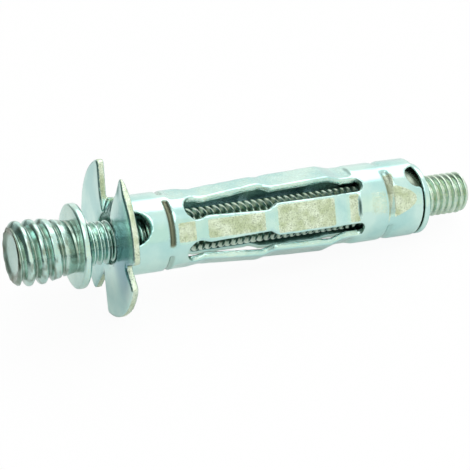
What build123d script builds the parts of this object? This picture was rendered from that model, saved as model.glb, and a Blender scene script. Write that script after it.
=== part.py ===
from build123d import *
from math import cos, hypot, radians, sin, sqrt
import os

# Expansion anchor for hollow walls, in millimetres.
# The anchor's axis is X, the flange end is towards -X and +Z is up.
# X = 0 is the flange's bearing face, the one that meets the wall, and the axis is the line Y = Z = 0.
# A clock angle turns a feature about +X, away from straight up.

# Sheet steel of the sleeve
SHEET = 0.8                 # thickness
BEND_RADIUS = 0.3           # inside radius where the collar turns into the flange
BEND_FACES = 3              # straight faces that stand for the curve of that bend
PLATE_LAP = 0.1             # how far the bend runs on into the flat flange

# Flange of four petals
FLANGE_D = 17.5
PETAL_CORNER_R = 0.6
GAP_CORNER_R = 0.15
WIDE_GAP_CLOCK = 2.0        # the gap between two petals that is wide and goes right down to the collar
WIDE_GAP_ASIDE = -1.35      # its middle lies this far beside the axis
WIDE_GAP_FLOOR = 0.1        # how deep its floor is cut below the outside of the collar
WIDE_GAP_FLOOR_X = 0.2      # bearing face to the rear end of that floor
WIDE_GAP_ROOT_W = 3.7
WIDE_GAP_RIM_W = 7.5
SIDE_GAP_CLOCK = 89.0       # vee-shaped gaps: one at the side that is seen
SIDE_GAP_DEPTH = 2.4        # from the rim in to the bottom of the vee
SIDE_GAP_ROOT_W = 0.4
SIDE_GAP_RIM_W = 3.4
FOOT_GAP_CLOCK = 183.0      # one under the axis
FOOT_GAP_DEPTH = 3.7
FOOT_GAP_ROOT_W = 0.8
FOOT_GAP_RIM_W = 4.8
BACK_GAP_CLOCK = 248.0      # one at the back
BACK_GAP_DEPTH = 3.1
BACK_GAP_ROOT_W = 0.6
BACK_GAP_RIM_W = 3.4

# Front collar, with a round-ended window on two opposite sides
COLLAR_D = 8.9
FRONT_COLLAR_L = 7.35       # bearing face to the start of the slots
WINDOW_CLOCK = 48.0
WINDOW_W = 3.7
WINDOW_END = 3.05           # bearing face to the window's round end
WINDOW_START = 0.1          # clear of the bend

# Five legs and the slots between them
LEG_COUNT = 5
LEG_CLOCK = -8.0            # one of the legs
ROOT_FLAT_L = 1.4           # flat pressed on the front collar before the slots start
ROOT_FLAT_SIDE = 0.2        # how far that flat is wider than the neck, on each side
NECK_L = 1.2                # slot start to the first bend, where the leg is narrowest
NECK_BEND_L = 1.0           # length of that bend
NECK_DROP = 0.15            # how far the leg steps in at that bend
FRONT_SPAN_L = 7.0          # first bend to the joggle
FRONT_RISE = 0.58           # how far the leg leans out along that span
JOGGLE_L = 1.2
JOGGLE_DROP = 0.29
REAR_SPAN_L = 7.2           # joggle to the rear bend
REAR_RISE = 0.3
REAR_BEND_L = 1.8
REAR_FLAT_L = 2.2           # rear bend to the end of the slots
REAR_FLAT_STOP = 0.65       # the pressed flat stops this far before the end of the slots
LEG_BEND_R = 0.8            # rounding of the bends seen from the side
LEG_PLAN_R = 0.5            # rounding of the outline seen from above
FLARE_SHIFT = 0.5           # the leg starts to widen this far behind the start of the joggle
FLARE_L = 1.0               # length along which it widens
NECK_W = 2.4                # width of a leg at its neck
SHOULDER_W = 3.0            # width just behind the neck
WAIST_W = 2.4               # width before the joggle
LEG_W = 3.65                # width of the rear span
LEG_LAP = 0.05              # how far a leg is wider than the land it grows from, on each side
REAR_FLAT_SIDE = 0.05       # how far the flat on the rear collar is wider than a leg, on each side

# Rear collar, with an open round notch on two opposite sides
REAR_COLLAR_D = 9.1
REAR_COLLAR_L = 7.5         # end of the slots to the end of the sleeve
END_NOTCH_CLOCK = 26.0
END_NOTCH_R = 1.45
END_NOTCH_DEPTH = 1.6

# Crimps, four jaw marks round each collar
JAW_COUNT = 4
JAW_CLOCK = 46.0
JAW_SPAN = 74.0             # degrees
FRONT_CRIMP_X = 5.4         # bearing face to the middle of the front crimp
FRONT_CRIMP_W = 0.75
REAR_CRIMP_FROM_END = 4.1   # middle of the rear crimp to the end of the sleeve
REAR_CRIMP_W = 1.1
CRIMP_DEPTH = 0.28
CRIMP_FLOOR = 0.4           # share of a mark's width that is at its full depth

# Round nut in the rear collar
NUT_SETBACK = 2.1           # end of the slots to the nut's front face
NUT_FIT = 0.02              # room between the nut and the collar's bore, where it touches
NUT_DROP = 0.4              # the nut and the stud lie this far under the sleeve's axis
NUT_FLANGE_D = 8.3
NUT_FLANGE_T = 0.75
NUT_STANDOFF = 0.4          # end of the sleeve to the nut's flange
NUT_BEVEL = 0.4
NUT_GROOVE_ROOM = 0.06      # room round the crimp in the nut's groove
THREAD_ROOM = 0.08          # radial room between the stud and the nut's bore

# Stud with two threads and a solid collar between them
FINE_D = 4.85               # outside of the M5 x 0.8 machine thread
FINE_TIP_BEVEL = 0.5
STUD_TAIL = 6.3             # nut to the rear end of the stud
STUD_COLLAR_D = 9.45
STUD_COLLAR_T = 0.9
STUD_COLLAR_EDGE = 0.25
STUD_COLLAR_GAP = 3.1       # stud collar to the flange's front face
COARSE_D = 7.2
COARSE_ROOT_D = 5.6
COARSE_PITCH = 1.5
COARSE_CREST = 0.25         # width of the flat on the thread's crest
COARSE_ROOT_W = 1.05        # width of the thread's ridge at its root
COARSE_L = 6.85             # front end of the stud to its collar
TIP_D = 6.1                 # front end, with a shallow dish in it as thread rolling leaves
TIP_BEVEL_L = 0.9
TIP_EDGE = 0.15
DISH_D = 5.0
DISH_DEPTH = 0.2
COARSE_LEAD = 0.95          # the thread's ridge starts this far ahead of the front end
COARSE_RUNOUT = 0.3         # plain length between the thread's end and the stud collar
COARSE_FADE_L = 0.9         # length over which the thread fades out


def flat_height(radius, half_width):
    """Height above the axis of a flat of this half width cut on a round of this radius."""
    return sqrt(radius**2 - half_width**2)


def slot_half_width(height, leg_width):
    """Half width of the slots that leaves lands a little narrower than the legs at this height."""
    half_pitch = radians(180 / LEG_COUNT)
    half_land = leg_width / 2 - LEG_LAP
    return height * sin(half_pitch) - half_land * cos(half_pitch)


# Places that follow from the sizes above
bore_r = COLLAR_D / 2 - SHEET
rear_r = REAR_COLLAR_D / 2
rear_bore_r = rear_r - SHEET
slot_start = FRONT_COLLAR_L
neck_x = slot_start + NECK_L
front_low_x = neck_x + NECK_BEND_L
joggle_x = front_low_x + FRONT_SPAN_L
step_x = joggle_x + JOGGLE_L
rear_high_x = step_x + REAR_SPAN_L
rear_low_x = rear_high_x + REAR_BEND_L
slot_end = rear_low_x + REAR_FLAT_L
sleeve_end = slot_end + REAR_COLLAR_L
root_h = flat_height(COLLAR_D / 2, NECK_W / 2 + ROOT_FLAT_SIDE)
front_low_h = root_h - NECK_DROP
joggle_h = front_low_h + FRONT_RISE
step_h = joggle_h - JOGGLE_DROP
rear_high_h = step_h + REAR_RISE
rear_low_h = flat_height(rear_r, LEG_W / 2 + REAR_FLAT_SIDE)
slot_front_r = slot_half_width(root_h, NECK_W)
slot_rear_r = slot_half_width(rear_low_h, LEG_W)
nut_flange_x = sleeve_end + NUT_STANDOFF
nut_start = slot_end + NUT_SETBACK
nut_end = nut_flange_x + NUT_FLANGE_T
leg_start = slot_start - ROOT_FLAT_L
leg_end = slot_end + NUT_SETBACK / 2
flat_end = slot_end - REAR_FLAT_STOP
rear_crimp_x = sleeve_end - REAR_CRIMP_FROM_END
stud_collar_rear = -SHEET - STUD_COLLAR_GAP
stud_collar_front = stud_collar_rear - STUD_COLLAR_T
stud_front = stud_collar_front - COARSE_L
stud_rear = nut_end + STUD_TAIL


def ring(points):
    """A solid of revolution about the anchor's axis from (x, radius) points."""
    return revolve(Plane.XZ * make_face(Polyline(*points, close=True)), axis=Axis.X)


def turned(shape, clock):
    """The shape turned about the axis by a clock angle."""
    return Rot(X=clock) * shape


def radial_prism(outline, low, high):
    """An outline in (x, tangent) stood up from one height to another above the axis."""
    return extrude(Plane.XY.offset(low) * outline, high - low)


def crimp_marks(x, width, radius, outwards):
    """Four arcs about the axis, sunk in from the radius by the crimp's depth."""
    half = width / 2
    floor = half * CRIMP_FLOOR
    low = radius - CRIMP_DEPTH
    back = radius + outwards
    outline = Polyline((x - half, back), (x - half, radius), (x - floor, low), (x + floor, low),
                       (x + half, radius), (x + half, back), close=True)
    section = Plane.XZ * make_face(outline)
    mark = revolve(section, axis=Axis.X, revolution_arc=JAW_SPAN)
    step = 360 / JAW_COUNT
    return [turned(mark, JAW_CLOCK - JAW_SPAN / 2 + k * step) for k in range(JAW_COUNT)]


def bend_points(centre_x, centre_h, radius):
    """The curve of the flange's bend, as points from the collar's side up to the flange's side."""
    steps = [radians(90 * k / BEND_FACES) for k in range(BEND_FACES + 1)]
    return [(centre_x - radius * sin(turn), centre_h - radius * cos(turn)) for turn in steps]


def gap_outline(root, low, root_w, rim_w):
    """A gap between two petals, as wide as stated at its root and rim, drawn from a low place outwards."""
    disc_r = FLANGE_D / 2
    out = disc_r + PETAL_CORNER_R
    spread = (rim_w - root_w) / 2 / (disc_r - root)
    low_w = root_w / 2 - spread * (root - low)
    out_w = root_w / 2 + spread * (out - root)
    return Polygon((low, -low_w), (out, -out_w), (out, out_w), (low, low_w), align=None)


def wide_gap():
    """The wide gap, with straight sides and a floor that follows the collar."""
    floor_r = COLLAR_D / 2 - WIDE_GAP_FLOOR
    outline = gap_outline(floor_r, floor_r / 2, WIDE_GAP_ROOT_W, WIDE_GAP_RIM_W)
    return Rot(Z=WIDE_GAP_CLOCK) * Pos(0, WIDE_GAP_ASIDE) * outline - Circle(floor_r)


def petal_plate():
    """The flat flange: a disc with one wide gap and three vees between its petals."""
    disc_r = FLANGE_D / 2
    plate = Circle(disc_r) - wide_gap()
    for clock, depth, root_w, rim_w in (
        (SIDE_GAP_CLOCK, SIDE_GAP_DEPTH, SIDE_GAP_ROOT_W, SIDE_GAP_RIM_W),
        (FOOT_GAP_CLOCK, FOOT_GAP_DEPTH, FOOT_GAP_ROOT_W, FOOT_GAP_RIM_W),
        (BACK_GAP_CLOCK, BACK_GAP_DEPTH, BACK_GAP_ROOT_W, BACK_GAP_RIM_W),
    ):
        root = disc_r - depth
        plate -= Rot(Z=clock) * gap_outline(root, root, root_w, rim_w)
    deepest = disc_r - max(SIDE_GAP_DEPTH, FOOT_GAP_DEPTH, BACK_GAP_DEPTH)
    shallowest = disc_r - min(SIDE_GAP_DEPTH, FOOT_GAP_DEPTH, BACK_GAP_DEPTH)
    halfway = (disc_r + shallowest) / 2
    plate = fillet([v for v in plate.vertices() if hypot(v.X, v.Y) > halfway], PETAL_CORNER_R)
    roots = [v for v in plate.vertices() if deepest * 0.99 < hypot(v.X, v.Y) < shallowest * 1.01]
    return fillet(roots, GAP_CORNER_R)


def leg_side():
    """Outer face of a leg as (x, height) points, from the front collar to the rear one."""
    return [
        (leg_start, root_h),
        (neck_x, root_h),
        (front_low_x, front_low_h),
        (joggle_x, joggle_h),
        (step_x, step_h),
        (rear_high_x, rear_high_h),
        (rear_low_x, rear_low_h),
        (leg_end, rear_low_h),
    ]


def leg_plan():
    """Outline of a leg as (x, half width) points."""
    return [
        (leg_start, NECK_W / 2),
        (slot_start + slot_front_r, NECK_W / 2),
        (front_low_x + NECK_BEND_L / 3, SHOULDER_W / 2),
        (joggle_x + FLARE_SHIFT, WAIST_W / 2),
        (joggle_x + FLARE_SHIFT + FLARE_L, LEG_W / 2),
        (leg_end, LEG_W / 2),
    ]


def between(face, start, end):
    """The corners of a flat face that lie between two places along the axis."""
    return [v for v in face.vertices() if start < v.X < end]


def leg():
    """One leg, a flat bent bar above the axis, trimmed to its outline."""
    inset = ROOT_FLAT_L / 2
    outer = leg_side()
    inner = [(x, h - SHEET) for x, h in reversed(outer)]
    side = make_face(Polyline(*outer, *inner, close=True))
    side = fillet(between(side, leg_start + inset, leg_end - inset), LEG_BEND_R)
    bar = extrude(Plane.XZ * side, LEG_W, both=True)
    half = leg_plan()
    mirrored = [(x, -w) for x, w in reversed(half)]
    plan = make_face(Polyline(*half, *mirrored, close=True))
    plan = fillet(between(plan, leg_start + inset, leg_end - inset), LEG_PLAN_R)
    return bar & radial_prism(plan, 0, COLLAR_D)


def leg_clearance():
    """The room above a leg's outer face, which presses its flats into the collars."""
    inset = ROOT_FLAT_L / 2
    outer = [(x, h) for x, h in leg_side() if x < flat_end] + [(flat_end, rear_low_h)]
    top = [(flat_end, REAR_COLLAR_D), (leg_start, REAR_COLLAR_D)]
    side = make_face(Polyline(*outer, *top, close=True))
    side = fillet(between(side, leg_start + inset, flat_end - inset), LEG_BEND_R)
    return extrude(Plane.XZ * side, LEG_W, both=True)


def slot_ends():
    """The round ends of one slot, as cutters above the axis: the front one and the rear one."""
    reach = COLLAR_D
    front_x = slot_start + slot_front_r
    rear_x = slot_end - slot_rear_r
    front = Pos(front_x, 0) * Circle(slot_front_r)
    front += Pos(front_x + reach / 2, 0) * Rectangle(reach, 2 * slot_front_r)
    rear = Pos(rear_x, 0) * Circle(slot_rear_r)
    rear += Pos(rear_x - reach / 2, 0) * Rectangle(reach, 2 * slot_rear_r)
    return radial_prism(front, 0, COLLAR_D), radial_prism(rear, 0, COLLAR_D)


def window_outline():
    """A window, square at the bend and round at its rear end."""
    start = BEND_RADIUS + WINDOW_START
    centre = WINDOW_END - WINDOW_W / 2
    square = Pos((start + centre) / 2, 0) * Rectangle(centre - start, WINDOW_W)
    room = Pos((start + WINDOW_END) / 2, 0) * Rectangle(WINDOW_END - start, WINDOW_W)
    return (square + Pos(centre, 0) * Circle(WINDOW_W / 2)) & room


def expansion_sleeve():
    """The formed sheet: petals, front collar, legs and rear collar in one piece."""
    collar_r = COLLAR_D / 2
    front_end = slot_start + slot_front_r
    lap_r = collar_r + BEND_RADIUS + PLATE_LAP
    centre_h = collar_r + BEND_RADIUS
    wall_side = bend_points(BEND_RADIUS, centre_h, BEND_RADIUS)
    mouth_side = bend_points(BEND_RADIUS, centre_h, BEND_RADIUS + SHEET)
    front = ring([
        (front_end, bore_r),
        (front_end, collar_r),
        *wall_side,
        (0, lap_r),
        (-SHEET, lap_r),
        *reversed(mouth_side),
    ])
    mouth_r = collar_r + BEND_RADIUS + PLATE_LAP / 2
    up_is_x = Plane(origin=(-SHEET, 0, 0), x_dir=(0, 0, 1), z_dir=(1, 0, 0))
    front -= extrude(up_is_x * wide_gap(), SHEET + WIDE_GAP_FLOOR_X)
    front += extrude(up_is_x * (petal_plate() - Circle(mouth_r)), SHEET)
    rear_start = slot_end - slot_rear_r
    rear = ring([(rear_start, rear_bore_r), (sleeve_end, rear_bore_r), (sleeve_end, rear_r), (rear_start, rear_r)])

    front_slot, rear_slot = slot_ends()
    pitch = 360 / LEG_COUNT
    clearance = leg_clearance()
    notch_x = sleeve_end - END_NOTCH_DEPTH + END_NOTCH_R
    notch = radial_prism(Pos(notch_x, 0) * Circle(END_NOTCH_R), 0, REAR_COLLAR_D)
    for k in range(LEG_COUNT):
        leg_clock = LEG_CLOCK + k * pitch
        slot_clock = leg_clock + pitch / 2
        front -= turned(front_slot, slot_clock)
        rear -= turned(rear_slot, slot_clock)
        front -= turned(clearance, leg_clock)
        rear -= turned(clearance, leg_clock)

    front = crimped(front, FRONT_CRIMP_X, FRONT_CRIMP_W, collar_r)
    rear = crimped(rear, rear_crimp_x, REAR_CRIMP_W, rear_r)
    window = radial_prism(window_outline(), 0, COLLAR_D)
    for half_turn in (0, 180):
        front -= turned(window, WINDOW_CLOCK + half_turn)
        rear -= turned(notch, END_NOTCH_CLOCK + half_turn)

    sleeve = front + rear
    one_leg = leg()
    for k in range(LEG_COUNT):
        sleeve += turned(one_leg, LEG_CLOCK + k * pitch)
    return sleeve


def crimped(collar, x, width, outer_r):
    """The collar with a crimp pressed into it, the same depth outside and inside."""
    for mark in crimp_marks(x, width, outer_r, CRIMP_DEPTH):
        collar -= mark
    for mark in crimp_marks(x, width, outer_r - SHEET, CRIMP_DEPTH / 2):
        collar += mark
    return collar


def flange_nut():
    """The round nut, grooved where the crimp holds it, with a plain bore at the thread's size."""
    body_r = rear_bore_r - NUT_FIT - NUT_DROP
    hole_r = FINE_D / 2 + THREAD_ROOM
    groove_half = REAR_CRIMP_W / 2 + NUT_GROOVE_ROOM
    groove_r = body_r - CRIMP_DEPTH - NUT_GROOVE_ROOM
    nut = ring([
        (nut_start, hole_r),
        (nut_start, body_r - NUT_BEVEL),
        (nut_start + NUT_BEVEL, body_r),
        (rear_crimp_x - groove_half, body_r),
        (rear_crimp_x - groove_half, groove_r),
        (rear_crimp_x + groove_half, groove_r),
        (rear_crimp_x + groove_half, body_r),
        (nut_flange_x, body_r),
        (nut_flange_x, NUT_FLANGE_D / 2),
        (nut_end, NUT_FLANGE_D / 2),
        (nut_end, hole_r),
    ])
    return Pos(Z=-NUT_DROP) * nut


def coarse_thread():
    """The ridge of the coarse thread, right-handed, fading out at the tip and before the collar."""
    root_r = COARSE_ROOT_D / 2
    crest_r = COARSE_D / 2
    first = stud_front - COARSE_LEAD
    last = stud_collar_front - COARSE_RUNOUT
    path = Helix(COARSE_PITCH, last - first, root_r, center=(first, 0, 0), direction=(1, 0, 0))
    start = path @ 0
    radial = Vector(0, start.Y, start.Z).normalized()
    frame = Plane(origin=start, x_dir=radial, z_dir=path % 0)
    depth = crest_r - root_r
    sunk = depth / 3
    flank = (COARSE_ROOT_W - COARSE_CREST) / 2 / depth
    foot = COARSE_ROOT_W / 2 + flank * sunk
    half_crest = COARSE_CREST / 2
    profile = Polygon((-sunk, -foot), (depth, -half_crest), (depth, half_crest), (-sunk, foot), align=None)
    ridge = sweep(frame * profile, path=path, is_frenet=True)
    far_r = crest_r + COARSE_PITCH
    lead = TIP_BEVEL_L / (crest_r - TIP_D / 2)
    beyond_tip = ring([
        (first - COARSE_PITCH, 0),
        (first - COARSE_PITCH, far_r),
        (stud_front + lead * (far_r - TIP_D / 2), far_r),
        (stud_front, TIP_D / 2),
        (stud_front, 0),
    ])
    fade_low_r = root_r - 2 * sunk
    beyond_end = ring([
        (last - COARSE_FADE_L, crest_r + sunk),
        (last - COARSE_FADE_L, far_r),
        (last + COARSE_PITCH, far_r),
        (last + COARSE_PITCH, fade_low_r),
        (last, fade_low_r),
    ])
    return ridge - beyond_tip - beyond_end


def double_thread_stud():
    """The stud: coarse thread, solid collar, and a plain cylinder at the machine thread's size."""
    fine_r = FINE_D / 2
    root_r = COARSE_ROOT_D / 2
    collar_r = STUD_COLLAR_D / 2
    tip_r = TIP_D / 2
    body = ring([
        (stud_front + DISH_DEPTH, 0),
        (stud_front + DISH_DEPTH, DISH_D / 2),
        (stud_front, tip_r - TIP_EDGE),
        (stud_front + TIP_EDGE, tip_r),
        (stud_front + TIP_EDGE + tip_r - root_r, root_r),
        (stud_collar_front, root_r),
        (stud_collar_front, collar_r - STUD_COLLAR_EDGE),
        (stud_collar_front + STUD_COLLAR_EDGE, collar_r),
        (stud_collar_rear - STUD_COLLAR_EDGE, collar_r),
        (stud_collar_rear, collar_r - STUD_COLLAR_EDGE),
        (stud_collar_rear, fine_r),
        (stud_rear - FINE_TIP_BEVEL, fine_r),
        (stud_rear, fine_r - FINE_TIP_BEVEL),
        (stud_rear, 0),
    ])
    return Pos(Z=-NUT_DROP) * (body + coarse_thread())


os.makedirs("parts", exist_ok=True)
nodes = {
    "expansion_sleeve": expansion_sleeve(),
    "flange_nut": flange_nut(),
    "double_thread_stud": double_thread_stud(),
}
for name, solid in nodes.items():
    export_step(solid, f"parts/{name}.step")
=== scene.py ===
import math

import bmesh
import bpy
from mathutils import Matrix, Vector, noise


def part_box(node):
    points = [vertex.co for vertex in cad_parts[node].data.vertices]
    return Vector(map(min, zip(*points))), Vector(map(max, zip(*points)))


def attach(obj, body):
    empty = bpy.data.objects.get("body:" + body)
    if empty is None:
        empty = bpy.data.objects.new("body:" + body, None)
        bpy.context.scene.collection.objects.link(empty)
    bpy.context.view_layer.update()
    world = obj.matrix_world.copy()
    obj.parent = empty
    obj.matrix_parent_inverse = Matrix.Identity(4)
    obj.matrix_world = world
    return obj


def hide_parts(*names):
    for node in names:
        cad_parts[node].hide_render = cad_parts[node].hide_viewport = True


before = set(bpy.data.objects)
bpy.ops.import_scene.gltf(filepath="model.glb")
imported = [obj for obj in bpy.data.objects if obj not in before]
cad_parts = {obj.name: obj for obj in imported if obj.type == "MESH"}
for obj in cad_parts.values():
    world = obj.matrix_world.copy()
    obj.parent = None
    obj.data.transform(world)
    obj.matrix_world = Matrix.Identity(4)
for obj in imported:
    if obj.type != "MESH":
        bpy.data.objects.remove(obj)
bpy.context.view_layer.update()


# The view
# The anchor is seen from its front left and from above, a little turned in the picture, from close by.
# The long lens of a catalogue picture keeps its two ends nearly the same size.
scene = bpy.context.scene
MM = 0.001
PICTURE_PX = 470
FOCAL_PX = 1683
SENSOR_MM = 36
SEEN_FROM = 190 * MM
NEAREST_SEEN = 10 * MM
AIMED_AT = Vector((14.58 * MM, 0, 0))
AIM_LIFT = 1.66 * MM
picture_right = Vector((0.9176, -0.3876, 0.0883))
picture_up = Vector((0.1330, 0.5089, 0.8505))
to_camera = Vector((-0.3746, -0.7687, 0.5185))

lens = bpy.data.cameras.new("catalogue_lens")
lens.sensor_width = SENSOR_MM
lens.lens = SENSOR_MM * FOCAL_PX / PICTURE_PX
lens.clip_start = NEAREST_SEEN
camera = bpy.data.objects.new("camera", lens)
turn = Matrix((picture_right, picture_up, to_camera)).transposed()
place = AIMED_AT + to_camera * SEEN_FROM - picture_up * AIM_LIFT
camera.matrix_world = Matrix.Translation(place) @ turn.to_4x4()
scene.collection.objects.link(camera)
scene.camera = camera


# The table under the anchor
# A white board. The anchor lies on it as it comes to rest: on the two petals beside the lowest gap,
# and on the rim of the nut, so that its axis slopes down a little towards the nut.
def new_material(name):
    """An empty node material, and its node tree."""
    material = bpy.data.materials.new(name)
    material.use_nodes = True
    material.node_tree.nodes.clear()
    return material, material.node_tree


def calc(tree, operation, *values):
    """One step of arithmetic in a node tree."""
    step = tree.nodes.new("ShaderNodeMath")
    step.operation = operation
    for socket, value in zip(step.inputs, values):
        if isinstance(value, (int, float)):
            socket.default_value = value
        else:
            tree.links.new(value, socket)
    return step.outputs[0]


def ranged(tree, value, low, high):
    """A value stretched so that low becomes nothing and high becomes one, and held there."""
    stretch = tree.nodes.new("ShaderNodeMapRange")
    stretch.inputs["From Min"].default_value = low
    stretch.inputs["From Max"].default_value = high
    tree.links.new(value, stretch.inputs["Value"])
    return stretch.outputs[0]


TABLE_SIZE = 3.0
TABLE_WHITE = (0.92, 0.93, 0.93, 1)
FULL_WHITE = (1, 1, 1, 1)
GLOW_SEEN = 0.94
GLOW_MIRRORED = 0.30
DIM_GREY = (0.10, 0.14, 0.13, 1)
DIM_FROM = -6 * MM
DIM_TO = -45 * MM

table_paint, tree = new_material("white_board")
board = tree.nodes.new("ShaderNodeBsdfDiffuse")
board.inputs["Color"].default_value = TABLE_WHITE
glow = tree.nodes.new("ShaderNodeEmission")
glow.inputs["Color"].default_value = FULL_WHITE
path = tree.nodes.new("ShaderNodeLightPath").outputs
mirrored = calc(tree, "MAXIMUM", path["Is Glossy Ray"], path["Is Transmission Ray"])
seen = calc(tree, "MULTIPLY", path["Is Camera Ray"], GLOW_SEEN)
share = calc(tree, "MAXIMUM", seen, calc(tree, "MULTIPLY", mirrored, GLOW_MIRRORED))
blend = tree.nodes.new("ShaderNodeMixShader")
tree.links.new(share, blend.inputs[0])
tree.links.new(board.outputs[0], blend.inputs[1])
tree.links.new(glow.outputs[0], blend.inputs[2])
# towards the room's dark left end the board dims, but only in what the metal mirrors
dim = tree.nodes.new("ShaderNodeEmission")
dim.inputs["Color"].default_value = DIM_GREY
spot = tree.nodes.new("ShaderNodeSeparateXYZ")
tree.links.new(tree.nodes.new("ShaderNodeTexCoord").outputs["Object"], spot.inputs[0])
dimmed = tree.nodes.new("ShaderNodeMixShader")
leftwards = ranged(tree, spot.outputs["X"], DIM_FROM, DIM_TO)
tree.links.new(calc(tree, "MULTIPLY", leftwards, mirrored), dimmed.inputs[0])
tree.links.new(blend.outputs[0], dimmed.inputs[1])
tree.links.new(dim.outputs[0], dimmed.inputs[2])
out = tree.nodes.new("ShaderNodeOutputMaterial")
tree.links.new(dimmed.outputs[0], out.inputs["Surface"])

sleeve_low, sleeve_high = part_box("expansion_sleeve")
nut_low, nut_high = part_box("flange_nut")
petal_foot = Vector((0, 0, sleeve_low[2]))
nut_foot = Vector((nut_high[0], 0, nut_low[2]))
slope = math.atan2(nut_foot.z - petal_foot.z, nut_foot.x - petal_foot.x)
bpy.ops.mesh.primitive_plane_add(size=TABLE_SIZE, location=petal_foot, rotation=(0, -slope, 0))
table = bpy.context.object
table.name = "table"
table.data.materials.append(table_paint)


# The studio light
# A white room that is darker towards its left end, with a bright window high behind the anchor, a warm
# wall behind the camera, and a soft lamp overhead.
ROOM_WHITE = (1.10, 1.10, 1.08, 1)
ROOM_DARK = (0.08, 0.12, 0.11, 1)
DARK_END = (-0.96, 0.10, 0.25)
DARK_RANGE = (0.25, 0.85)
WINDOW_LIGHT = (2.6, 2.6, 2.6, 1)
WINDOW_SIDE = (0.34, 0.44, 0.83)
WINDOW_RANGE = (0.90, 0.97)
WALL_WARM = (1.12, 1.09, 0.98, 1)
WALL_SIDE = (0.33, -0.90, 0.28)
WALL_RANGE = (0.75, 0.95)
LAMP_POWER = 0.35
LAMP_SIZE = 0.35
LAMP_AT = Vector((-0.05, -0.18, 0.42))


def mixed(tree, share, first, second):
    """One colour turning into another by a mask."""
    mix = tree.nodes.new("ShaderNodeMix")
    mix.data_type = "RGBA"
    tree.links.new(share, mix.inputs[0])
    for socket, colour in ((mix.inputs[6], first), (mix.inputs[7], second)):
        if isinstance(colour, tuple):
            socket.default_value = colour
        else:
            tree.links.new(colour, socket)
    return mix.outputs[2]


def towards(tree, direction, side, low, high):
    """One towards a side of the room, fading to nothing away from it."""
    facing = tree.nodes.new("ShaderNodeVectorMath")
    facing.operation = "DOT_PRODUCT"
    facing.inputs[1].default_value = side
    tree.links.new(direction, facing.inputs[0])
    return ranged(tree, facing.outputs["Value"], low, high)


world = bpy.data.worlds.new("white_room")
scene.world = world
world.use_nodes = True
tree = world.node_tree
tree.nodes.clear()
direction = tree.nodes.new("ShaderNodeTexCoord").outputs["Generated"]
room = mixed(tree, towards(tree, direction, DARK_END, *DARK_RANGE), ROOM_WHITE, ROOM_DARK)
room = mixed(tree, towards(tree, direction, WALL_SIDE, *WALL_RANGE), room, WALL_WARM)
room = mixed(tree, towards(tree, direction, WINDOW_SIDE, *WINDOW_RANGE), room, WINDOW_LIGHT)
# the camera itself sees plain white
path = tree.nodes.new("ShaderNodeLightPath").outputs
room = mixed(tree, path["Is Camera Ray"], room, FULL_WHITE)
glow = tree.nodes.new("ShaderNodeBackground")
tree.links.new(room, glow.inputs["Color"])
out = tree.nodes.new("ShaderNodeOutputWorld")
tree.links.new(glow.outputs[0], out.inputs["Surface"])

lamp = bpy.data.lights.new("overhead_softbox", "AREA")
lamp.shape = "DISK"
lamp.size = LAMP_SIZE
lamp.energy = LAMP_POWER
softbox = bpy.data.objects.new("overhead_softbox", lamp)
softbox.location = LAMP_AT
softbox.rotation_euler = (AIMED_AT - LAMP_AT).to_track_quat("-Z", "Y").to_euler()
scene.collection.objects.link(softbox)


# The zinc finish
# Every piece is barrel-plated in bright zinc and passivated: a thin coat with a cool green cast, a
# little cloudy. Where the press worked the steel it stays finely pitted and takes a warmer, duller coat,
# which is rubbed bright in places.
CLOUD_DETAIL = 4
CLOUD_RANGE = (0.38, 0.62)
PIT_DETAIL = 2
PIT_RANGE = (0.52, 0.34)
PIT_DARK = 0.8
RUB_DETAIL = 3
RUB_RANGE = (0.35, 0.62)
PITTED_RANGE = (0.8, 1.15)
CLOUD_DULLS = 0.06
HEIGHT_RANGE = (0.3, 0.7)
SMOOTH_BUMP = 0.1


def grain(tree, where, scale, detail):
    """A fine uneven grain over the surface."""
    speckle = tree.nodes.new("ShaderNodeTexNoise")
    speckle.inputs["Detail"].default_value = detail
    tree.links.new(where, speckle.inputs["Vector"])
    tree.links.new(scale, speckle.inputs["Scale"])
    return speckle.outputs["Fac"]


zinc_skin = bpy.data.node_groups.new("zinc_skin", "ShaderNodeTree")
for name, kind, value in (
    ("Bright Tint", "NodeSocketColor", (0.58, 0.79, 0.73, 1)),
    ("Cloud Tint", "NodeSocketColor", (0.44, 0.69, 0.66, 1)),
    ("Pitted Tint", "NodeSocketColor", (0.50, 0.60, 0.40, 1)),
    ("Rubbed Tint", "NodeSocketColor", (0.72, 0.83, 0.68, 1)),
    ("Pit Tint", "NodeSocketColor", (0.22, 0.28, 0.19, 1)),
    # the next two tints darken: mostly painted shade with some stain at random, and a painted blue
    # reflection and shade
    ("Shade And Stain Tint", "NodeSocketColor", (0.16, 0.18, 0.12, 1)),
    ("Blue Reflection And Shade Tint", "NodeSocketColor", (0.07, 0.25, 0.35, 1)),
    ("Blue_Reflection_And_Shade", "NodeSocketFloat", 0.0),
    ("Pitted", "NodeSocketFloat", 0.0),
    ("Shade_And_Stain", "NodeSocketFloat", 0.0),
    ("Cloud Scale", "NodeSocketFloat", 260.0),
    ("Pit Scale", "NodeSocketFloat", 9000.0),
    ("Rub Scale", "NodeSocketFloat", 900.0),
    ("Roughness", "NodeSocketFloat", 0.13),
    ("Pitted Roughness", "NodeSocketFloat", 0.30),
):
    socket = zinc_skin.interface.new_socket(name, in_out="INPUT", socket_type=kind)
    socket.default_value = value
zinc_skin.interface.new_socket("Color", in_out="OUTPUT", socket_type="NodeSocketColor")
zinc_skin.interface.new_socket("Roughness", in_out="OUTPUT", socket_type="NodeSocketFloat")
zinc_skin.interface.new_socket("Height", in_out="OUTPUT", socket_type="NodeSocketFloat")
tree = zinc_skin
given = tree.nodes.new("NodeGroupInput").outputs
result = tree.nodes.new("NodeGroupOutput").inputs
where = tree.nodes.new("ShaderNodeTexCoord").outputs["Object"]
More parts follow.
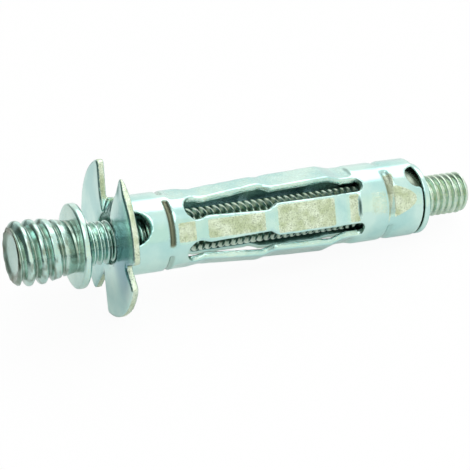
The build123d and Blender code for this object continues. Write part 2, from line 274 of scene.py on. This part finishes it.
cloud = ranged(tree, grain(tree, where, given["Cloud Scale"], CLOUD_DETAIL), *CLOUD_RANGE)
plain = mixed(tree, cloud, given["Bright Tint"], given["Cloud Tint"])
pits = grain(tree, where, given["Pit Scale"], PIT_DETAIL)
deep = calc(tree, "MULTIPLY", ranged(tree, pits, *PIT_RANGE), PIT_DARK)
rubbed = ranged(tree, grain(tree, where, given["Rub Scale"], RUB_DETAIL), *RUB_RANGE)
between_pits = mixed(tree, rubbed, given["Pitted Tint"], given["Rubbed Tint"])
speckled = mixed(tree, deep, between_pits, given["Pit Tint"])
# the pitting ends along its own pits
pitted = ranged(tree, calc(tree, "ADD", given["Pitted"], pits), *PITTED_RANGE)
worked = mixed(tree, pitted, plain, speckled)
# this darkening is mostly painted shade in creases, recesses and hidden parts, with some stain at random
shade_and_stain = mixed(tree, given["Shade_And_Stain"], worked, given["Shade And Stain Tint"])
# the blue tint here is a painted reflection on the flange and painted shade inside the tube
tree.links.new(mixed(tree, given["Blue_Reflection_And_Shade"], shade_and_stain, given["Blue Reflection And Shade Tint"]), result["Color"])
smooth = calc(tree, "MULTIPLY_ADD", cloud, CLOUD_DULLS, given["Roughness"])
rough = calc(tree, "SUBTRACT", given["Pitted Roughness"], smooth)
dull = calc(tree, "MAXIMUM", pitted, given["Shade_And_Stain"])
tree.links.new(calc(tree, "MULTIPLY_ADD", rough, dull, smooth), result["Roughness"])
depth = calc(tree, "MULTIPLY_ADD", dull, 1 - SMOOTH_BUMP, SMOOTH_BUMP)
tree.links.new(calc(tree, "MULTIPLY", ranged(tree, pits, *HEIGHT_RANGE), depth), result["Height"])


def zinc_metal(name, bump_depth, masks, **values):
    """Plated metal with the shared skin, whose masks are the piece's own attributes of those names."""
    material, tree = new_material(name)
    skin = tree.nodes.new("ShaderNodeGroup")
    skin.node_tree = zinc_skin
    for key, value in values.items():
        skin.inputs[key.replace("_", " ").title()].default_value = value
    for mask_name in masks:
        mask = tree.nodes.new("ShaderNodeAttribute")
        mask.attribute_name = mask_name
        tree.links.new(mask.outputs["Fac"], skin.inputs[mask_name.title()])
    bump = tree.nodes.new("ShaderNodeBump")
    bump.inputs["Distance"].default_value = bump_depth
    tree.links.new(skin.outputs["Height"], bump.inputs["Height"])
    metal = tree.nodes.new("ShaderNodeBsdfPrincipled")
    metal.inputs["Metallic"].default_value = 1
    tree.links.new(skin.outputs["Color"], metal.inputs["Base Color"])
    tree.links.new(skin.outputs["Roughness"], metal.inputs["Roughness"])
    tree.links.new(bump.outputs[0], metal.inputs["Normal"])
    out = tree.nodes.new("ShaderNodeOutputMaterial")
    tree.links.new(metal.outputs[0], out.inputs["Surface"])
    return material


# The expansion sleeve
# Zinc-plated sheet steel, 0.8 mm thick, rolled into a tube. The press turns out the petals at the front,
# slots the tube into five legs, sets their bends and flats, and crimps both collars. Every edge leaves
# the press and the plating barrel a little round.
JOINED_WITHIN = 0.001 * MM
EVEN_SIZE = 0.165 * MM
ROUNDED = (
    # which part, how many passes round it, from where along the axis
    ("whole", 2, -1),
    ("legs", 6, 5.5),
)
ROUNDED_FADE = 0.5
ROUNDED_BY = 0.5
SLEEVE_BUMP = 0.018 * MM


def joined_copy(node, name):
    """A copy of a carried-over solid, with its loose triangles joined up."""
    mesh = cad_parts[node].data.copy()
    mesh.materials.clear()
    work = bmesh.new()
    work.from_mesh(mesh)
    bmesh.ops.remove_doubles(work, verts=work.verts, dist=JOINED_WITHIN)
    work.to_mesh(mesh)
    work.free()
    piece = bpy.data.objects.new(name, mesh)
    scene.collection.objects.link(piece)
    return piece


def made_plain(piece):
    """The piece with what its modifiers make as its own mesh."""
    mesh = bpy.data.meshes.new_from_object(piece.evaluated_get(bpy.context.evaluated_depsgraph_get()))
    piece.modifiers.clear()
    piece.data = mesh
    return piece


def past(value, start, width):
    """Nothing up to the start, one from a width past it, and smooth between."""
    share = min(max((value - start) / width, 0), 1)
    return share * share * (3 - 2 * share)


def short_of(value, end, width):
    """One up to a width short of the end, nothing from the end on, and smooth between."""
    return past(-value, -end, width)


# From here on the sleeve's sizes are in millimetres, and its clock in degrees about the axis, from the
# top towards the near side. A pair with no comment is where a change starts or ends, and how wide it is.
PRESSED_END = 2
SHEET = 0.8
BEND_INSIDE = 0.3
BEND_CENTRE = (0.3, 4.75)  # along the axis, out from it
MOUTH_R = 2.9
MOUTH_IN = 0.75
MOUTH_FADE = (-1.4, 0.9)
MOUTH_KEPT = 0.35
FACE_IN = 1.6
FACE_FADE = (-0.3, 0.3)
CORNER = (-2.6, 8.2)  # across, up
CORNER_FADE = (1.6, 1.6)
CORNER_PULL = Vector((0.1, 0.65, 0.35))
CORNER_THIN = 0.55


def pressed(spot):
    """Where the press leaves a place: the mouth is drawn in, one petal's corner drawn to a point."""
    x, y, z = spot
    radius = math.hypot(y, z)
    along, out = BEND_CENTRE[0] - x, BEND_CENTRE[1] - radius
    if along < 0:
        # in the tube, behind the bend
        deep = past(out / (SHEET + BEND_INSIDE) * (1 + MOUTH_KEPT), MOUTH_KEPT, 1)
        inwards = MOUTH_IN * past(along, *MOUTH_FADE)
    elif out < 0:
        # on the flat of the petals
        deep = past(along, BEND_INSIDE, SHEET)
        inwards = FACE_IN * past(out, *FACE_FADE)
    else:
        # in the bend between them
        deep = past(math.hypot(along, out), BEND_INSIDE, SHEET)
        inwards = MOUTH_IN + (FACE_IN - MOUTH_IN) * math.atan2(along, out) / math.radians(90)
    narrower = max(radius - deep * inwards, min(radius, MOUTH_R)) / radius
    drawn = short_of(math.hypot(y - CORNER[0], z - CORNER[1]), *CORNER_FADE)
    thin = drawn * CORNER_THIN * (x + SHEET / 2)
    return Vector((x - thin, y * narrower, z * narrower)) + drawn * CORNER_PULL


FACET_CLOCK = 61
FACET_START = 32.7
FACET_END = 35.4
FACET_DEPTH = 0.4
FACET_RUN_IN = 0.2
REAR_R = 4.55


def above_facet(x, y, z):
    """How far a place on the rear collar lies above the facet that the crimping tool presses."""
    turn = math.radians(FACET_CLOCK)
    sunk = FACET_DEPTH * min((FACET_END - x) / (FACET_END - FACET_START), 1)
    return -y * math.sin(turn) + z * math.cos(turn) - (REAR_R - sunk)


BAND_FADE = (31.7, 0.3)
BAND_END = 33.4
BAND_TOP = 15
BAND_TAPER = 60
BAND_CLOCK = (12, 10)


def facing_out(y, z, normal):
    """How squarely a place faces away from the axis, from one down to minus one where it faces it."""
    return (normal.y * y + normal.z * z) / math.hypot(y, z)


def banded(x, clock):
    """How far a place lies in the worn band at the rear crimp, which is widest at its upper end."""
    end = BAND_END - (clock - BAND_TOP) / BAND_TAPER
    return past(x, *BAND_FADE) * short_of(x, end, BAND_FADE[1]) * past(clock, *BAND_CLOCK)


PETALS_END = 0.3
SHEARED = 0.75
SHEARED_TURN = (0.7, 0.3)
SHEARED_FADE = (3.9, 0.4)
SCUFFED = 0.42
SCUFF_FADE = (29.2, 0.8)
SCUFF_CLOCK = (25, 12)
BAND_WORN = 0.8
FACET_WORN = 0.9
FACET_FADE = (-0.04, 0.04)
LEG_CLOCK = -8
LEG_STEP = 72
PITTED_WARM_REFLECTION_LEG = 64
OTHER_LEGS = 0.3
LEG_FACE = 0.9
EDGE_WORN = 0.4
EDGE_TURN = (0.5, 0.3)
FLATS = (
    # where each pitted flat of a leg starts and ends, and half its width
    (6.0, 8.35, 1.25),
    (9.55, 16.5, 1.2),
    (17.85, 25.1, 1.75),
    (26.9, 28.4, 1.75),
)
FLAT_FADE = 0.35


def pitted_share(x, y, z, normal):
    """How pitted the press has left a place. The leg towards the camera is pitted most, and its warm
    pitted tint is partly a painted warm reflection.
    """
    if x < PETALS_END:
        return SHEARED * short_of(abs(normal.x), *SHEARED_TURN) * past(math.hypot(y, z), *SHEARED_FADE)
    clock = math.degrees(math.atan2(-y, z))
    outside = facing_out(y, z, normal) > 0
    if SCUFF_FADE[0] < x < BAND_FADE[0] and outside:
        return SCUFFED * past(x, *SCUFF_FADE) * short_of(abs(clock - FACET_CLOCK), *SCUFF_CLOCK)
    if x > BAND_FADE[0]:
        worn = BAND_WORN * banded(x, clock)
        if FACET_START < x < FACET_END:
            worn = max(worn, FACET_WORN * past(above_facet(x, y, z), *FACET_FADE))
        return worn if outside else 0
    # on the legs, the flats are pitted, and the sheared edges a little
    leg = round((clock - LEG_CLOCK) / LEG_STEP) * LEG_STEP + LEG_CLOCK
    turn = math.radians(leg)
    aside = -y * math.cos(turn) - z * math.sin(turn)
    facing = -normal.y * math.sin(turn) + normal.z * math.cos(turn)
    if facing < LEG_FACE:
        return EDGE_WORN * short_of(abs(facing), *EDGE_TURN)
    share = 0
    for start, end, half in FLATS:
        along = past(x, start, FLAT_FADE) * short_of(x, end, FLAT_FADE)
        share = max(share, along * short_of(abs(aside), half, FLAT_FADE))
    # the leg towards the camera gets full pitting, partly a painted warm reflection; the other legs a
    # little
    return share if leg == PITTED_WARM_REFLECTION_LEG else share * OTHER_LEGS


CRIMPS = (
    # where each crimp starts and ends, how far out its floor lies, and how dark its painted shade is
    (4.98, 5.82, 4.44, 1.0),
    (31.8, 32.9, 4.46, 0.3),
)
CRIMP_FADE = 0.12
CRIMP_OUT = 0.3
DARK_FROM = 5
DARK_TO = 86
PALER_BY = 3
BAND_DARKER = 0.6
BAND_DARKER_CLOCK = 50
INSIDE_SHADE = 0.35
INSIDE_TURN = (0.4, 0.4)


def shade_and_stain_share(x, y, z, normal):
    """How dark a place is: painted shade in the crimps, deepest on the upper near side where it is also
    a painted dark reflection, painted shade inside the tube, and the top of the worn band a little
    darker.
    """
    radius = math.hypot(y, z)
    outwards = facing_out(y, z, normal)
    clock = math.degrees(math.atan2(-y, z))
    share = 0
    for start, end, floor_r, crimp_shade in CRIMPS:
        if start < x < end and outwards > CRIMP_OUT:
            dark = crimp_shade if DARK_FROM < clock < DARK_TO else crimp_shade / PALER_BY
            share = dark * short_of(radius, floor_r, CRIMP_FADE)
    if outwards > CRIMP_OUT and clock < BAND_DARKER_CLOCK:
        share = max(share, BAND_DARKER * banded(x, clock))
    # painted shade on the inside of the tube
    return max(share, INSIDE_SHADE * past(-outwards, *INSIDE_TURN))


# painted dark blue: a reflection on the near side of the flange, and shade inside the tube
FLANGE_REFLECTION = 0.7
FLANGE_REFLECTION_CLOCK = 76
FLANGE_REFLECTION_SPREAD = (8.8, 2.2)
FLANGE_REFLECTION_SIDE = (0.5, 0.45)
FLANGE_REFLECTION_TURN = (0, 0.5)
FLANGE_REFLECTION_END = (0.5, 0.3)
INSIDE_BLUE_SHADE = 0.45
INSIDE_BLUE_SHADE_FADE = (1, 1)


def blue_reflection_and_shade_share(x, y, z, normal):
    """How much painted dark blue a place takes: a painted reflection on the near side of the flange, and
    painted shade in the tube.
    """
    aside = math.atan2(-y, z) - math.radians(FLANGE_REFLECTION_CLOCK)
    spread = short_of(math.hypot(y, z), *FLANGE_REFLECTION_SPREAD) * past(math.cos(aside), *FLANGE_REFLECTION_SIDE)
    flange = FLANGE_REFLECTION * spread * past(-normal.x, *FLANGE_REFLECTION_TURN) * short_of(x, *FLANGE_REFLECTION_END)
    inside = INSIDE_BLUE_SHADE * past(-facing_out(y, z, normal), *INSIDE_TURN) * past(x, *INSIDE_BLUE_SHADE_FADE)
    return max(inside, flange)


sleeve = joined_copy("expansion_sleeve", "formed_sleeve")
even = sleeve.modifiers.new("even", "REMESH")
even.mode = "VOXEL"
even.voxel_size = EVEN_SIZE
even.use_smooth_shade = True
made_plain(sleeve)
for name, passes, from_x in ROUNDED:
    group = sleeve.vertex_groups.new(name=name)
    for vertex in sleeve.data.vertices:
        group.add([vertex.index], past(vertex.co.x / MM, from_x, ROUNDED_FADE), "REPLACE")
    rounded = sleeve.modifiers.new(name, "SMOOTH")
    rounded.vertex_group = name
    rounded.factor = ROUNDED_BY
    rounded.iterations = passes
made_plain(sleeve)
turn = math.radians(FACET_CLOCK)
for vertex in sleeve.data.vertices:
    if vertex.co.x < PRESSED_END * MM:
        vertex.co = pressed(vertex.co / MM) * MM
    elif FACET_START * MM < vertex.co.x < FACET_END * MM:
        run_in = past(vertex.co.x / MM, FACET_START, FACET_RUN_IN)
        over = max(above_facet(*(vertex.co / MM)), 0) * run_in * MM
        vertex.co += over * Vector((0, math.sin(turn), -math.cos(turn)))
for name, measure in (("pitted", pitted_share), ("shade_and_stain", shade_and_stain_share), ("blue_reflection_and_shade", blue_reflection_and_shade_share)):
    mask = sleeve.data.attributes.new(name, "FLOAT", "POINT")
    mask.data.foreach_set("value", [measure(*(v.co / MM), v.normal) for v in sleeve.data.vertices])
sleeve_zinc = zinc_metal("sleeve_zinc", SLEEVE_BUMP, ("pitted", "shade_and_stain", "blue_reflection_and_shade"))
sleeve.data.materials.append(sleeve_zinc)
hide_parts("expansion_sleeve")
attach(sleeve, "sleeve")


# The flange nut
# A turned steel nut, zinc plated, pushed into the rear collar and held there by the crimp. Only its thin
# flange shows, and in the sleeve's notches a little of its body, which is darkened with painted shade.
NUT_AXIS_Z = -0.4
TURNED_SIDES = 96
SHARP_EDGE = math.radians(40)
NUT_SHADE = 0.8
NUT_SHADE_END = 36.9
NUT_BUMP = 0.004 * MM
NUT_OUTLINE = (
    # along the axis, out from it
    (31.05, 2.505), (31.05, 2.93), (31.45, 3.33), (31.74, 3.33), (31.74, 2.99), (32.96, 2.99),
    (32.96, 3.33), (36.85, 3.33), (36.85, 4.0), (36.93, 4.11), (37.02, 4.15), (37.43, 4.15),
    (37.52, 4.11), (37.6, 4.0), (37.6, 2.75), (37.35, 2.505),
)


def turned_piece(name, outline):
    """A piece turned on the lathe about the stud's axis, from a closed outline in millimetres."""
    work = bmesh.new()
    rings = []
    for x, radius in outline:
        if radius == 0:
            rings.append([work.verts.new((x * MM, 0, NUT_AXIS_Z * MM))])
            continue
        ring = []
        for k in range(TURNED_SIDES):
            turn = math.tau * k / TURNED_SIDES
            spot = (x * MM, radius * math.cos(turn) * MM, (NUT_AXIS_Z + radius * math.sin(turn)) * MM)
            ring.append(work.verts.new(spot))
        rings.append(ring)
    for first, second in zip(rings, rings[1:] + rings[:1]):
        for k in range(TURNED_SIDES):
            corners = [first[k % len(first)], second[k % len(second)]]
            corners += [second[(k + 1) % len(second)], first[(k + 1) % len(first)]]
            corners = list(dict.fromkeys(corners))
            if len(corners) > 2:
                work.faces.new(corners)
    bmesh.ops.recalc_face_normals(work, faces=work.faces)
    for face in work.faces:
        face.smooth = True
    for edge in work.edges:
        edge.smooth = edge.calc_face_angle(0) < SHARP_EDGE
    mesh = bpy.data.meshes.new(name)
    work.to_mesh(mesh)
    work.free()
    piece = bpy.data.objects.new(name, mesh)
    scene.collection.objects.link(piece)
    return piece


nut = turned_piece("turned_nut", NUT_OUTLINE)
# painted shade on the nut's body inside the sleeve
nut_shades = [NUT_SHADE if v.co.x < NUT_SHADE_END * MM else 0 for v in nut.data.vertices]
nut.data.attributes.new("shade_and_stain", "FLOAT", "POINT").data.foreach_set("value", nut_shades)
nut_zinc = zinc_metal("nut_zinc", NUT_BUMP, ("shade_and_stain",))
nut.data.materials.append(nut_zinc)
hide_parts("flange_nut")
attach(nut, "sleeve")


# The double-threaded stud
# One steel pin, zinc plated. Its coarse right-hand thread and its machine thread are rolled, its front
# end is dished, and the solid collar between the threads is upset from the pin.
SPARE_TURNS = 2
DISH_ROUNDING = 0.3
MERGED_WITHIN = 0.0005 * MM


def chosen(tree, share, first, second):
    """The first value, or the second where the share is one."""
    return calc(tree, "MULTIPLY_ADD", calc(tree, "SUBTRACT", second, first), share, first)


thread_tree = bpy.data.node_groups.new("rolled_thread", "GeometryNodeTree")
for name, kind in (
    ("Start", "NodeSocketFloat"),
    ("End", "NodeSocketFloat"),
    ("Axis Height", "NodeSocketFloat"),
    ("Crest Radius", "NodeSocketFloat"),
    ("Root Radius", "NodeSocketFloat"),
    ("Pitch", "NodeSocketFloat"),
    ("Crest Width", "NodeSocketFloat"),
    ("Root Width", "NodeSocketFloat"),
    ("Ridge At", "NodeSocketFloat"),
    ("Rings Per Turn", "NodeSocketInt"),
    ("Sides", "NodeSocketInt"),
    ("Front Radius", "NodeSocketFloat"),
    ("Front Slope", "NodeSocketFloat"),
    ("Back Radius", "NodeSocketFloat"),
    ("Back Slope", "NodeSocketFloat"),
    ("Dish Radius", "NodeSocketFloat"),
    ("Dish Depth", "NodeSocketFloat"),
    ("Material", "NodeSocketMaterial"),
):
    thread_tree.interface.new_socket(name, in_out="INPUT", socket_type=kind)
thread_tree.interface.new_socket("Geometry", in_out="OUTPUT", socket_type="NodeSocketGeometry")
tree = thread_tree
given = tree.nodes.new("NodeGroupInput").outputs
result = tree.nodes.new("NodeGroupOutput").inputs
pitch = given["Pitch"]
# the blank has two spare turns past each end, one for the slant of its rings and one that closes the
# face; its first ring starts half a turn beside a ridge
past_ridge = calc(tree, "MULTIPLY_ADD", pitch, SPARE_TURNS - 0.5, given["Ridge At"])
turns_ahead = calc(tree, "DIVIDE", calc(tree, "SUBTRACT", past_ridge, given["Start"]), pitch)
ahead = calc(tree, "MULTIPLY", calc(tree, "ADD", calc(tree, "CEIL", turns_ahead), 0.5), pitch)
first_x = calc(tree, "SUBTRACT", given["Ridge At"], ahead)
reach = calc(tree, "SUBTRACT", calc(tree, "MULTIPLY_ADD", pitch, SPARE_TURNS, given["End"]), first_x)
whole_turns = calc(tree, "CEIL", calc(tree, "DIVIDE", reach, pitch))
rings = calc(tree, "MULTIPLY", whole_turns, given["Rings Per Turn"])
columns = calc(tree, "ADD", given["Sides"], 1)
blank = tree.nodes.new("GeometryNodeMeshGrid")
tree.links.new(rings, blank.inputs["Vertices X"])
tree.links.new(columns, blank.inputs["Vertices Y"])
index = tree.nodes.new("GeometryNodeInputIndex").outputs[0]
ring = calc(tree, "FLOOR", calc(tree, "DIVIDE", calc(tree, "ADD", index, 0.5), columns))
column = calc(tree, "SUBTRACT", index, calc(tree, "MULTIPLY", ring, columns))
level = calc(tree, "DIVIDE", ring, given["Rings Per Turn"])
turn = calc(tree, "DIVIDE", column, given["Sides"])
along = calc(tree, "MULTIPLY_ADD", calc(tree, "ADD", level, turn), pitch, first_x)
# the ridge, from its root up to its crest
half_turns = calc(tree, "ABSOLUTE", calc(tree, "SUBTRACT", calc(tree, "FRACT", level), 0.5))
off_ridge = calc(tree, "MULTIPLY", half_turns, pitch)
half_root = calc(tree, "MULTIPLY", given["Root Width"], 0.5)
beside = calc(tree, "SUBTRACT", half_root, off_ridge)
flank = calc(tree, "MULTIPLY", calc(tree, "SUBTRACT", given["Root Width"], given["Crest Width"]), 0.5)
rise = tree.nodes.new("ShaderNodeClamp")
tree.links.new(calc(tree, "DIVIDE", beside, flank), rise.inputs[0])
tall = calc(tree, "SUBTRACT", given["Crest Radius"], given["Root Radius"])
rounded = calc(tree, "SINE", calc(tree, "MULTIPLY", rise.outputs[0], math.pi / 2))
threaded = calc(tree, "MULTIPLY_ADD", rounded, tall, given["Root Radius"])
# the cones that the two ends are trimmed to
from_front = calc(tree, "SUBTRACT", along, given["Start"])
from_back = calc(tree, "SUBTRACT", given["End"], along)
front_cone = calc(tree, "MULTIPLY_ADD", from_front, given["Front Slope"], given["Front Radius"])
back_cone = calc(tree, "MULTIPLY_ADD", from_back, given["Back Slope"], given["Back Radius"])
trimmed = calc(tree, "MINIMUM", threaded, calc(tree, "MINIMUM", front_cone, back_cone))
# past an end the rings close in to the axis
front_turns = calc(tree, "DIVIDE", from_front, pitch)
back_turns = calc(tree, "DIVIDE", from_back, pitch)
front_r = calc(tree, "MINIMUM", given["Front Radius"], given["Crest Radius"])
back_r = calc(tree, "MINIMUM", given["Back Radius"], given["Crest Radius"])
front_face = calc(tree, "MULTIPLY", calc(tree, "ADD", front_turns, 1), front_r)
back_face = calc(tree, "MULTIPLY", calc(tree, "ADD", back_turns, 1), back_r)
is_front = calc(tree, "LESS_THAN", from_front, 0)
is_back = calc(tree, "LESS_THAN", from_back, 0)
closing = chosen(tree, is_back, chosen(tree, is_front, trimmed, front_face), back_face)
radius = calc(tree, "MAXIMUM", closing, 0)
held = calc(tree, "MINIMUM", calc(tree, "MAXIMUM", along, given["Start"]), given["End"])
# the dish pressed into the front face
inside = tree.nodes.new("ShaderNodeClamp")
rim = calc(tree, "MULTIPLY", given["Dish Radius"], DISH_ROUNDING)
from_rim = calc(tree, "SUBTRACT", given["Dish Radius"], radius)
tree.links.new(calc(tree, "DIVIDE", from_rim, rim), inside.inputs[0])
dish = calc(tree, "MULTIPLY", calc(tree, "MULTIPLY", inside.outputs[0], given["Dish Depth"]), is_front)
# the blank wrapped about the axis and closed, with its faces outwards
place = tree.nodes.new("ShaderNodeCombineXYZ")
angle = calc(tree, "MULTIPLY", turn, math.tau)
height = calc(tree, "MULTIPLY_ADD", radius, calc(tree, "SINE", angle), given["Axis Height"])
tree.links.new(calc(tree, "ADD", held, dish), place.inputs["X"])
tree.links.new(calc(tree, "MULTIPLY", radius, calc(tree, "COSINE", angle)), place.inputs["Y"])
tree.links.new(height, place.inputs["Z"])
wrap = tree.nodes.new("GeometryNodeSetPosition")
tree.links.new(blank.outputs["Mesh"], wrap.inputs["Geometry"])
tree.links.new(place.outputs[0], wrap.inputs["Position"])
close = tree.nodes.new("GeometryNodeMergeByDistance")
close.inputs["Distance"].default_value = MERGED_WITHIN
tree.links.new(wrap.outputs[0], close.inputs["Geometry"])
outwards = tree.nodes.new("GeometryNodeFlipFaces")
tree.links.new(close.outputs[0], outwards.inputs["Mesh"])
shade = tree.nodes.new("GeometryNodeSetShadeSmooth")
tree.links.new(outwards.outputs[0], shade.inputs["Geometry"])
realize = tree.nodes.new("GeometryNodeRealizeInstances")
tree.links.new(shade.outputs[0], realize.inputs[0])
coat = tree.nodes.new("GeometryNodeSetMaterial")
tree.links.new(realize.outputs[0], coat.inputs["Geometry"])
tree.links.new(given["Material"], coat.inputs["Material"])
tree.links.new(coat.outputs[0], result["Geometry"])


def rolled_thread(name, values):
    """A closed threaded pin along the anchor's axis."""
    piece = bpy.data.objects.new(name, bpy.data.meshes.new(name))
    scene.collection.objects.link(piece)
    rolling = piece.modifiers.new("rolling", "NODES")
    rolling.node_group = thread_tree
    for item in thread_tree.interface.items_tree:
        if item.in_out == "INPUT":
            rolling[item.identifier] = values[item.name]
    return made_plain(piece)


STUD_BUMP = 0.005 * MM
STUD_ROUGHNESS = 0.22
COLLAR_FRONT = -4.85
COLLAR_BACK = -3.85
PATCH_SIZE = (1.6, 0.9)  # along the stud, across it
PATCH_LEVEL = 0.75
PATCH_STRENGTH = 0.5
SPOT_SIZE = (0.5, 0.9)  # along the stud, across it
SPOT_STAIN = 0.65
SPOT_FADE = (0.05, 0.3)
COARSE_ROOT_SHADE = 0.7
COARSE_ROOT = (3.3, 0.5)
COARSE_START = (-11.2, 0.2)
TIP_END = (-11.1, 0.4)
TIP_RIM = (2.0, 0.3)
MACHINE_ROOT_SHADE = 0.25
MACHINE_ROOT = (2.4, 0.35)
HIDDEN_SHADE = 0.4
HIDDEN_START = (0.5, 1.5)
HIDDEN_END = (37, 1.0)
FRONT_WORN = 0.34
THREAD_WORN = 0.55
WORN_START = (2, 2)


def unevenness(x, y, z, size):
    """How uneven the coat is at a place on the stud, in patches of a size."""
    return noise.noise(Vector((x / size[0], y / size[1], z / size[1])))


def thread_shade_and_stain(x, y, z):
    """How dark a place is: painted shade in the roots, inside the sleeve and at the rim of the tip, and
    dark spots at random on the coarse thread.
    """
    radius = math.hypot(y, z - NUT_AXIS_Z)
    patchy = PATCH_LEVEL + PATCH_STRENGTH * unevenness(x, y, z, PATCH_SIZE)
    if x < COLLAR_FRONT:
        root = COARSE_ROOT_SHADE * short_of(radius, *COARSE_ROOT) * past(x, *COARSE_START)
        outer = past(radius, *TIP_RIM)
        rim = outer * short_of(x, *TIP_END)
        spots = SPOT_STAIN * past(unevenness(x, y, z, SPOT_SIZE), *SPOT_FADE) * outer
        return min(max(root * patchy, rim * patchy, spots), 1)
    if x <= COLLAR_BACK:
        return 0
    # painted shade on the machine thread, deepest inside the sleeve
    hidden = past(x, *HIDDEN_START) * short_of(x, *HIDDEN_END)
    root = short_of(radius, *MACHINE_ROOT)
    return min(patchy * root * (MACHINE_ROOT_SHADE + HIDDEN_SHADE * hidden), 1)


def thread_wear(x, y, z):
    """How warm and dull the stud is: a little in front, and more from inside the sleeve's mouth on."""
    return FRONT_WORN + (THREAD_WORN - FRONT_WORN) * past(x, *WORN_START)


stud_zinc = zinc_metal(
    "stud_zinc", STUD_BUMP, ("shade_and_stain", "pitted"), pitted_roughness=STUD_ROUGHNESS,
)
coarse = rolled_thread("coarse_thread", {
    "Start": -11.65 * MM, "End": -4.5 * MM, "Axis Height": NUT_AXIS_Z * MM,
    "Crest Radius": 3.6 * MM, "Root Radius": 2.8 * MM, "Pitch": 1.5 * MM,
    "Crest Width": 0.2 * MM, "Root Width": 1.4 * MM, "Ridge At": 0.985 * MM,
    "Rings Per Turn": 12, "Sides": 64,
    "Front Radius": 3.05 * MM, "Front Slope": 0.9, "Back Radius": 2.8 * MM, "Back Slope": 0.2,
    "Dish Radius": 2.95 * MM, "Dish Depth": 0.3 * MM, "Material": stud_zinc,
})
machine = rolled_thread("machine_thread", {
    "Start": -4.3 * MM, "End": 43.9 * MM, "Axis Height": NUT_AXIS_Z * MM,
    "Crest Radius": 2.425 * MM, "Root Radius": 1.95 * MM, "Pitch": 0.8 * MM,
    "Crest Width": 0.1 * MM, "Root Width": 0.68 * MM, "Ridge At": 0.0,
    "Rings Per Turn": 8, "Sides": 48,
    "Front Radius": 2.4 * MM, "Front Slope": 1.0, "Back Radius": 1.95 * MM, "Back Slope": 1.0,
    "Dish Radius": 0.0, "Dish Depth": 0.0, "Material": stud_zinc,
})
COLLAR_OUTLINE = (
    # along the axis, out from it
    (-4.8, 0), (-4.8, 4.4), (-4.78, 4.56), (-4.7, 4.68), (-4.55, 4.725), (-4.15, 4.725),
    (-4.0, 4.68), (-3.92, 4.56), (-3.9, 4.4), (-3.9, 0),
)
collar = turned_piece("stud_collar", COLLAR_OUTLINE)
pin = bmesh.new()
for part in (coarse, machine, collar):
    pin.from_mesh(part.data)
    bpy.data.objects.remove(part)
# the whole stud wears one coat, so every face points at its one material
for face in pin.faces:
    face.material_index = 0
mesh = bpy.data.meshes.new("threaded_stud")
pin.to_mesh(mesh)
pin.free()
mesh.materials.append(stud_zinc)
for name, measure in (("shade_and_stain", thread_shade_and_stain), ("pitted", thread_wear)):
    mask = mesh.attributes.new(name, "FLOAT", "POINT")
    mask.data.foreach_set("value", [measure(*(v.co / MM)) for v in mesh.vertices])
stud = bpy.data.objects.new("threaded_stud", mesh)
scene.collection.objects.link(stud)
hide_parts("double_thread_stud")
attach(stud, "stud")


# The finished anchor
# Colours show as they are written.
scene.view_settings.view_transform = "Standard"
